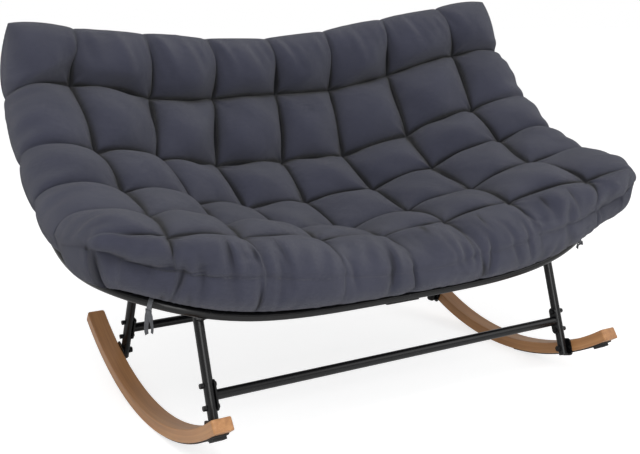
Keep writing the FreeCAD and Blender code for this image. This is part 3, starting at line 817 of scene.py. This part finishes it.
def settled(piece, rest, held, frames, cap):
    """How far each point of a piece moves while its cloth settles, in mm, softly limited to the cap."""
    began = np.array([point.co for point in piece.data.vertices])
    piece.shape_key_add(name="sewn")
    cut = piece.shape_key_add(name="cut")
    cut.data.foreach_set("co", (rest * MM).ravel())
    group = piece.vertex_groups.new(name="held")
    for weight in np.unique(held.round(2)):
        if weight > 0:
            group.add(np.flatnonzero(held.round(2) == weight).tolist(), float(weight), "REPLACE")
    modifier = piece.modifiers.new("cover", "CLOTH")
    fabric = modifier.settings
    fabric.quality = 8
    fabric.mass = 0.2
    fabric.tension_stiffness = 20.0
    fabric.compression_stiffness = 20.0
    fabric.shear_stiffness = 4.0
    fabric.bending_stiffness = 0.05
    fabric.tension_damping = 8.0
    fabric.compression_damping = 8.0
    fabric.shear_damping = 8.0
    fabric.air_damping = 2.0
    fabric.vertex_group_mass = group.name
    fabric.pin_stiffness = 4.0
    fabric.rest_shape_key = cut
    fabric.use_pressure = True
    fabric.uniform_pressure_force = 4.0
    fabric.effector_weights.gravity = 0.25
    modifier.collision_settings.use_collision = False
    for step in range(1, frames + 1):
        scene.frame_set(step)
    shown = piece.evaluated_get(bpy.context.evaluated_depsgraph_get())
    ended = np.array([point.co for point in shown.data.vertices])
    scene.frame_set(1)
    move = (ended - began) / MM
    length = np.linalg.norm(move, axis=1, keepdims=True)
    print("cloth moved", length.mean().round(1), "mm on average and", length.max().round(1), "at most")
    return move * cap * np.tanh(length / cap) / np.maximum(length, 1e-6)


def spread(values, axis):
    """A grid with a new line between each two lines: their mean, sharpened by the two beyond them."""
    lines = np.moveaxis(values, axis, 0)
    padded = np.concatenate([lines[:1], lines, lines[-1:]])
    middles = (9 * (lines[:-1] + lines[1:]) - padded[:-3] - padded[3:]) / 16
    full = np.empty((2 * len(lines) - 1, *lines.shape[1:]))
    full[0::2] = lines
    full[1::2] = middles
    return np.moveaxis(full, 0, axis)


coarse_grid = np.s_[::coarse, ::coarse]
coarse_upper = upper_sheet[coarse_grid]
coarse_inside = inner_points(coarse_upper)
hold = crease_hold * smooth((crease[coarse_grid] - hold_from) / (1 - hold_from))
hold[::cell_steps // coarse, ::cell_steps // coarse] = 1.0
hold[~coarse_inside] = 1.0
coarse_cut = flat_cut[coarse_grid]
trial = closed_pad("cover_trial", coarse_upper, lower_sheet[coarse_grid])
trial_rest = np.concatenate([coarse_cut.reshape(-1, 3), coarse_cut[coarse_inside] - [0, 0, layer_gap]])
trial_held = np.concatenate([hold.ravel(), np.ones(coarse_inside.sum())])
moves = settled(trial, trial_rest, trial_held, settle_frames, farthest)
moves = moves[:coarse_inside.size].reshape(coarse_upper.shape)
upper_sheet = upper_sheet + spread(spread(moves, 0), 1)
bpy.data.objects.remove(trial)

# %% [markdown]
# ## Gathers and pleats
# The finest folds are smaller than the steps of the simulation. Short pleats fan out from every tuft, and
# the cloth is gathered along the edge seam: at the front in deep irregular folds, at the top and the
# sides in shallow ones. Round the front roll the cloth is also tucked in at places of its own choosing,
# in narrow valleys that may cross the seam.

# %% Gathers and pleats
folds = np.random.default_rng(12)


def ripple(length, wave):
    """An irregular wave along a length, about 1 high: the sum of five waves that differ in length."""
    total = 0.0
    for _ in range(5):
        stretch = folds.uniform(0.75, 1.6)
        total = total + np.sin(2 * np.pi * length / (wave * stretch) + folds.uniform(0, 2 * np.pi))
    return total / 2.4


over_mm, down_mm = np.meshgrid(cut_over, cut_down)
pleats = np.zeros(over_mm.shape)
pleat_height = 1.9
pleat_reach = 46.0
pleat_start = 9.0
pleat_counts = (5, 8, 11)
for tuft_row in range(1, cells_down):
    for tuft_column in range(1, cells_over):
        aside = over_mm - cut_over[tuft_column * cell_steps]
        ahead = down_mm - cut_down[tuft_row * cell_steps]
        away = np.hypot(aside, ahead)
        turn = np.arctan2(ahead, aside)
        fan = sum(np.cos(count * turn + folds.uniform(0, 2 * np.pi)) for count in pleat_counts)
        pleats += pleat_height * fan * np.exp(-(away / pleat_reach)**2) * away / (away + pleat_start)

seam_margin = 0.2
top_band = 0.75
side_band = 0.7
band_fade = 0.6
fold_slant = 0.25
patch_wave = 210.0
front_height, front_wave = 2.2, 52.0
top_height, top_wave = 2.2, 46.0
side_height, side_wave = 1.9, 58.0
soft_height, soft_waves = 1.8, (120.0, 135.0)
off_sides = edge_round(column, seam_margin, seam_margin)[None, :]
off_ends = edge_round(row, seam_margin, seam_margin)[:, None]
off_seam = off_sides * off_ends * (1 - smooth(6 * corner_share))
slant = fold_slant * down_mm
patches = 0.4 + 0.6 * smooth(0.5 + 0.7 * ripple(over_mm, patch_wave))
at_top = smooth((top_band - row) / band_fade)[:, None]
at_left = smooth((side_band - column) / band_fade)[None, :]
at_right = smooth((column - (cells_over - side_band)) / band_fade)[None, :]
front_folds = front_height * past_row(5.12, 0.5) * patches * ripple(over_mm + slant, front_wave)
top_folds = top_height * at_top * ripple(over_mm - slant, top_wave)
side_folds = side_height * (at_left + at_right) * ripple(down_mm, side_wave)
soft_folds = (soft_height * ripple(over_mm + 0.6 * down_mm, soft_waves[0])
              + soft_height * ripple(over_mm - 0.8 * down_mm, soft_waves[1]))
upper_folds = (pleats + front_folds + top_folds + side_folds + soft_folds) * off_seam
lower_folds = (side_folds + top_folds) * off_seam
upper_sheet = upper_sheet + sheet_normals(upper_sheet) * upper_folds[..., None]
lower_sheet = lower_sheet - inwards * lower_folds[..., None]

tuck_count = 56
tuck_ranges = {"place": (0, cut_over[-1]), "middle": (-0.8, 0.9), "half": (0.35, 0.9), "lean": (-35, 35),
               "width": (6.0, 11.0), "deep": (4.0, 13.0)}
tucks = [[folds.uniform(*limits) for limits in tuck_ranges.values()] for _ in range(tuck_count)]


def tucked(face):
    """How deep the cloth is tucked in at each point of the front: narrow valleys with soft ends.

    The face runs from -1 at the last tufts over 0 at the seam to 1 on the ring."""
    total = np.zeros(over_mm.shape)
    for place, middle, half, lean, width, deep in tucks:
        span = np.clip(1 - ((face - middle) / half)**2, 0, 1)**2
        total = np.maximum(total, deep * span * np.exp(-((over_mm - place - lean * face) / width)**2))
    return total * (1 - smooth(3 * corner_share))


upper_tucks = tucked(row[:, None] - cells_down) * past_row(5.05, 0.3)
lower_face = (1 - nearness) / roll_reach
lower_tucks = tucked(lower_face) * on_front * (1 - smooth((lower_face - 0.6) / 0.3))
out_of_seat = outside(middle_sheet)
upper_sheet = upper_sheet - out_of_seat * upper_tucks[..., None]
lower_sheet = lower_sheet - out_of_seat * lower_tucks[..., None]
print("folds up to", np.abs(upper_folds).max().round(1), "mm")

# %% Mesh of the cushion
under_panel_shift = 3000.0
# open_cloth_shade and shade_per_mm set how much painted shade the tucks get: a base level and a rise for
# each mm of tuck depth.
open_cloth_shade = 0.30
shade_per_mm = 0.035
cushion = closed_pad("tufted_cushion", upper_sheet, lower_sheet)
inside = inner_points(upper_sheet)
weave_map = cushion.data.uv_layers.new(name="cloth")
flat = flat_cut[..., :2]
metres = np.concatenate([flat.reshape(-1, 2), flat[inside] + under_panel_shift]) * MM
loop_points = np.zeros(len(cushion.data.loops), np.int32)
cushion.data.loops.foreach_get("vertex_index", loop_points)
weave_map.data.foreach_set("uv", metres[loop_points].ravel())
# The crease attribute is a mask of painted shade. It is high at the bottoms of the creases and in the
# tucks, and the cloth shader paints the colour darker there, where shade falls.
depth = cushion.data.attributes.new("crease", "FLOAT", "POINT")
upper_painted_shade = np.maximum(crease, open_cloth_shade + shade_per_mm * upper_tucks)
lower_painted_shade = open_cloth_shade + shade_per_mm * lower_tucks
depth.data.foreach_set("value", np.concatenate([upper_painted_shade.ravel(), lower_painted_shade[inside]]))
print("cushion:", len(cushion.data.polygons), "faces")

# %% [markdown]
# ## Cushion cloth
# The cover is a plain, close woven cloth in a dark blue-grey. From a step away the weave is only a fine
# grain, the puffs are a little paler where the cloth is stretched and rubbed, and the cloth has a faint
# sheen. The bottoms of the creases and the tucks are painted darker, as painted shade.

# %% Cushion cloth
thread_pitch = 0.0016
slub_long = 60.0
slub_fine = 420.0
wear_scale = 7.0
rumple_scale = 26.0
cloth = Finish("cushion_cloth")
weave = cloth.node("ShaderNodeUVMap", {"uv_map": "cloth"})
warp_x, weft_y, _ = cloth.axes(weave)
thread = 2 * np.pi / thread_pitch
basket = (warp_x * thread).sine() * (weft_y * thread).sine()
slub = cloth.noise(cloth.vector(warp_x * slub_long, weft_y * slub_fine, 0.0), 1.0, 3.0)
wear = cloth.noise(cloth.place(), wear_scale, 4.0)
rumple = cloth.noise(cloth.place(), rumple_scale, 3.0)
# Painted shade: where the crease attribute is high, at the bottoms of the creases and in the tucks, the
# colour is drawn towards near black.
crease_shade_mask = cloth.node("ShaderNodeAttribute", {"attribute_name": "crease"}, output="Fac")
painted_crease_shade = crease_shade_mask.between(0.52, 0.72) * 0.7 + crease_shade_mask.between(0.30, 0.70) * 0.28
tone = 0.5 * wear + 0.35 * slub + 0.15 * (0.5 + 0.5 * basket)
plain = cloth.mix(tone.between(0.30, 0.70), (0.030, 0.032, 0.052), (0.052, 0.054, 0.082))
cloth.set(Base_Color=cloth.mix(painted_crease_shade, plain, (0.005, 0.005, 0.008)), Roughness=0.82,
          Specular_IOR_Level=0.3, Sheen_Weight=0.15, Sheen_Roughness=0.45)
cloth.bump(basket * 0.4 + slub * 0.6 + wear * 1.5 + rumple * 5.0, 0.0008)
cushion.data.materials.append(cloth.material)
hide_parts("cushion")
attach(cushion, "root")
print("cushion dressed")

# %% [markdown]
# ## Ties
# Four pairs of narrow woven ribbons are sewn into the edge of the cushion. Each pair goes round the ring,
# one ribbon in front and one behind, and is knotted below it, with two loose tails.

# %% Ribbons round the ring
ribbon_width = 10.0
ribbon_gap = 1.2
ribbon_points = 5
twill_pitch = 0.0012
tail_lengths = {"front_left_tie": (44.0, 52.0), "front_right_tie": (15.0, 20.0),
                "top_left_tie": (46.0, 38.0), "top_right_tie": (40.0, 48.0)}
tie_places = {"front": np.array([588.0, -208.0, 343.6]), "top": np.array([300.5, 469.0, 757.2])}
ring_axes = {"front": np.array([0.823, 0.497, 0.275]), "top": np.array([0.999, -0.031, -0.038])}
knot_sides = {"front": np.array([0, 0, -1.0]), "top": np.array([0, 1.0, 0])}
start_height = 16.0
start_aside = 1.5
wrap_angles = np.radians([8.0, 40.0, 75.0, 110.0, 145.0])
wrap_lift = 0.6
knot_drop = 7.0
knot_width = 6.5
knot_depth = 4.2
knot_slope = 0.4
tail_sway = {0.45: 5.0, 0.75: 7.0, 1.0: 6.0}
tail_turn = 1.3


def strip(path, sides, steps=8):
    """Points of a ribbon along a spline through a path, with its width across the given directions."""
    along = np.linspace(0, len(path) - 1, (len(path) - 1) * steps + 1)
    smoothing = spline_matrix(len(path), along)
    line = smoothing @ np.array(path, float)
    run = np.gradient(line, axis=0)
    run /= np.linalg.norm(run, axis=1, keepdims=True)
    across = smoothing @ np.array(sides, float)
    across -= run * (across * run).sum(axis=1, keepdims=True)
    across /= np.linalg.norm(across, axis=1, keepdims=True)
    shares = np.linspace(-0.5, 0.5, ribbon_points) * ribbon_width
    return line[:, None, :] + across[:, None, :] * shares[None, :, None]


def tie_strips(place, axis, knot_side, tails):
    """The two ribbons of a tie from above the ring to the ends of their tails, and the turn of its knot."""
    hang = np.array([0.0, 0.0, -1.0])
    below = knot_side - axis * (knot_side @ axis)
    below /= np.linalg.norm(below)
    ahead = np.cross(axis, below)
    reach = rim_radius + ribbon_gap
    knot = place + below * (reach + knot_drop)
    strips = []
    for side, tail in zip((-1, 1), tails):
        wrap = reach + wrap_lift * side
        path = [place - below * (reach + start_height) + ahead * side * start_aside]
        path += [place + ahead * side * wrap * np.sin(angle) - below * wrap * np.cos(angle)
                 for angle in wrap_angles]
        path += [knot + ahead * side * 1.4, knot + hang * 9.0 - axis * side * 3.0 + ahead * side * 1.2]
        sides = [axis] * len(path)
        for share, sway in tail_sway.items():
            spread_out = ahead * side * (1.0 + 3.0 * share)
            path.append(knot + hang * tail * share - axis * side * sway + spread_out)
            sides.append(axis + ahead * side * tail_turn * share)
        strips.append(strip(path, sides))
    loop = [knot + axis * knot_width * np.cos(angle) + ahead * knot_depth * np.sin(angle)
            + hang * angle * knot_slope for angle in np.linspace(0, 2 * np.pi, 9)]
    strips.append(strip(loop, [hang] * len(loop), steps=4))
    return strips


ribbon = Finish("tie_ribbon")
rib_x, rib_y, rib_z = ribbon.axes(ribbon.place())
twill = ((rib_x + rib_y + rib_z) * (2 * np.pi / twill_pitch)).sine()
fade = ribbon.noise(ribbon.place(), 90.0, 3.0)
ribbon.set(Base_Color=ribbon.mix(fade, (0.085, 0.088, 0.098), (0.13, 0.134, 0.146)), Roughness=0.8)
ribbon.bump(twill, 0.0002)
for node, tails in tail_lengths.items():
    end, hand, _ = node.split("_")
    side = -1 if hand == "left" else 1
    place = tie_places[end] * [side, 1, 1]
    axis = ring_axes[end] * [1, side, side]
    points, quads, length = np.zeros((0, 3)), [], 0.0
    for grid in tie_strips(place, axis, knot_sides[end], tails):
        quads.append(grid_quads(len(points) + np.arange(grid[..., 0].size).reshape(grid.shape[:2])))
        points = np.concatenate([points, grid.reshape(-1, 3)])
        middle_line = grid[:, ribbon_points // 2]
        length += np.linalg.norm(np.diff(middle_line, axis=0), axis=1).sum()
    piece = mesh_piece(node + "_ribbon", points, np.concatenate(quads))
    piece.data.materials.append(ribbon.material)
    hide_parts(node)
    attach(piece, "root")
    print(node, "ribbon", length.round(), "mm long")
